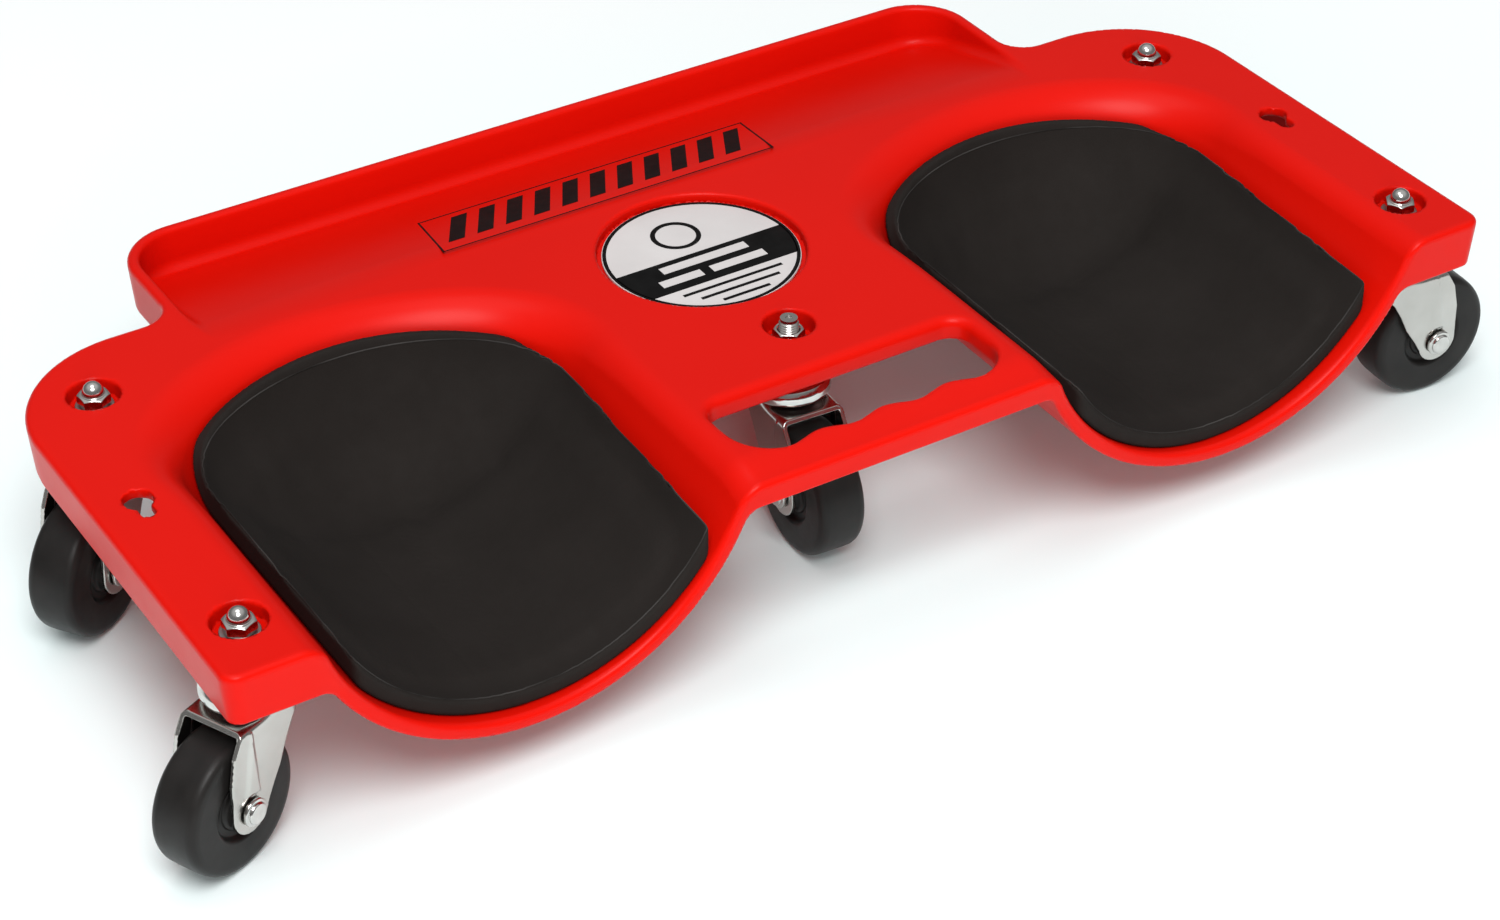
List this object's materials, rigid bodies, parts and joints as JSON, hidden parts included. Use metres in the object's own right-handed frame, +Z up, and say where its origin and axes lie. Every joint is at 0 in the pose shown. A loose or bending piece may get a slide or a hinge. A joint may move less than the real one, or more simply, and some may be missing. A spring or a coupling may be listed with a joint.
{
  "type": "mechanics creeper",
  "caption": "Low rolling kneeling creeper: moulded platform with two padded knee cups, a rear tool tray and a hand slot, on swivel casters.",
  "frame": {"origin": "on the floor, under the middle of the object's footprint", "axes": "+Z up, +Y towards the tool tray at the rear, +X to the right as seen from the handle side"},
  "size_m": [0.7062, 0.3255, 0.115],
  "materials": {
    "shell": "smooth semi-gloss moulded plastic, bright red",
    "pad": "matte black sewn cover over foam",
    "emblem": null,
    "zinc": "zinc plated pressed steel",
    "bright": "bright plated steel",
    "tyre": "solid black rubber, satin",
    "bush": "plain steel tube"
  },
  "bodies": {
    "platform": {"platform_shell": "shell", "left_knee_pad": "pad", "right_knee_pad": "pad", "emblem_disc": "emblem", "front_left_stem": "zinc", "front_left_race_cup": "bright", "front_left_washer": "bright", "front_left_cap_nut": "bright", "front_right_stem": "zinc", "front_right_race_cup": "bright", "front_right_washer": "bright", "front_right_cap_nut": "bright", "rear_left_stem": "zinc", "rear_left_race_cup": "bright", "rear_left_washer": "bright", "rear_left_cap_nut": "bright", "rear_right_stem": "zinc", "rear_right_race_cup": "bright", "rear_right_washer": "bright", "rear_right_cap_nut": "bright", "centre_stem": "zinc", "centre_race_cup": "bright", "centre_washer": "bright", "centre_hex_nut": "bright"},
    "front_left_swivel": {"front_left_bearing_ring": "zinc", "front_left_fork": "zinc", "front_left_axle_bolt": "bright", "front_left_axle_nut": "zinc"},
    "front_left_roller": {"front_left_wheel": "tyre", "front_left_bushing": "bush"},
    "front_right_swivel": {"front_right_bearing_ring": "zinc", "front_right_fork": "zinc", "front_right_axle_bolt": "bright", "front_right_axle_nut": "zinc"},
    "front_right_roller": {"front_right_wheel": "tyre", "front_right_bushing": "bush"},
    "rear_left_swivel": {"rear_left_bearing_ring": "zinc", "rear_left_fork": "zinc", "rear_left_axle_bolt": "bright", "rear_left_axle_nut": "zinc"},
    "rear_left_roller": {"rear_left_wheel": "tyre", "rear_left_bushing": "bush"},
    "rear_right_swivel": {"rear_right_bearing_ring": "zinc", "rear_right_fork": "zinc", "rear_right_axle_bolt": "bright", "rear_right_axle_nut": "zinc"},
    "rear_right_roller": {"rear_right_wheel": "tyre", "rear_right_bushing": "bush"},
    "centre_swivel": {"centre_bearing_ring": "zinc", "centre_fork": "zinc", "centre_axle_bolt": "bright", "centre_axle_nut": "zinc"},
    "centre_roller": {"centre_wheel": "tyre", "centre_bushing": "bush"}
  },
  "joints": [
    {"name": "front_left_swivel_turn", "type": "hinge", "parent": "platform", "child": "front_left_swivel", "pos_m": [-0.3008, -0.1285, 0.0715], "axis": [0, 0, 1], "continuous": true},
    {"name": "front_left_wheel_roll", "type": "hinge", "parent": "front_left_swivel", "child": "front_left_roller", "pos_m": [-0.31983, -0.13737, 0.03175], "axis": [0.4226, -0.9063, 0], "continuous": true},
    {"name": "front_right_swivel_turn", "type": "hinge", "parent": "platform", "child": "front_right_swivel", "pos_m": [0.3008, -0.1285, 0.0715], "axis": [0, 0, 1], "continuous": true},
    {"name": "front_right_wheel_roll", "type": "hinge", "parent": "front_right_swivel", "child": "front_right_roller", "pos_m": [0.32175, -0.12996, 0.03175], "axis": [0.0698, 0.9976, 0], "continuous": true},
    {"name": "rear_left_swivel_turn", "type": "hinge", "parent": "platform", "child": "rear_left_swivel", "pos_m": [-0.287, 0.049, 0.0715], "axis": [0, 0, 1], "continuous": true},
    {"name": "rear_left_wheel_roll", "type": "hinge", "parent": "rear_left_swivel", "child": "rear_left_roller", "pos_m": [-0.3042, 0.03696, 0.03175], "axis": [0.5736, -0.8192, 0], "continuous": true},
    {"name": "rear_right_swivel_turn", "type": "hinge", "parent": "platform", "child": "rear_right_swivel", "pos_m": [0.287, 0.049, 0.0715], "axis": [0, 0, 1], "continuous": true},
    {"name": "rear_right_wheel_roll", "type": "hinge", "parent": "rear_right_swivel", "child": "rear_right_roller", "pos_m": [0.30673, 0.05618, 0.03175], "axis": [-0.342, 0.9397, 0], "continuous": true},
    {"name": "centre_swivel_turn", "type": "hinge", "parent": "platform", "child": "centre_swivel", "pos_m": [0, -0.062, 0.0715], "axis": [0, 0, 1], "continuous": true},
    {"name": "centre_wheel_roll", "type": "hinge", "parent": "centre_swivel", "child": "centre_roller", "pos_m": [-0.0011, -0.08297, 0.03175], "axis": [0.9986, -0.0523, 0], "continuous": true}
  ]
}
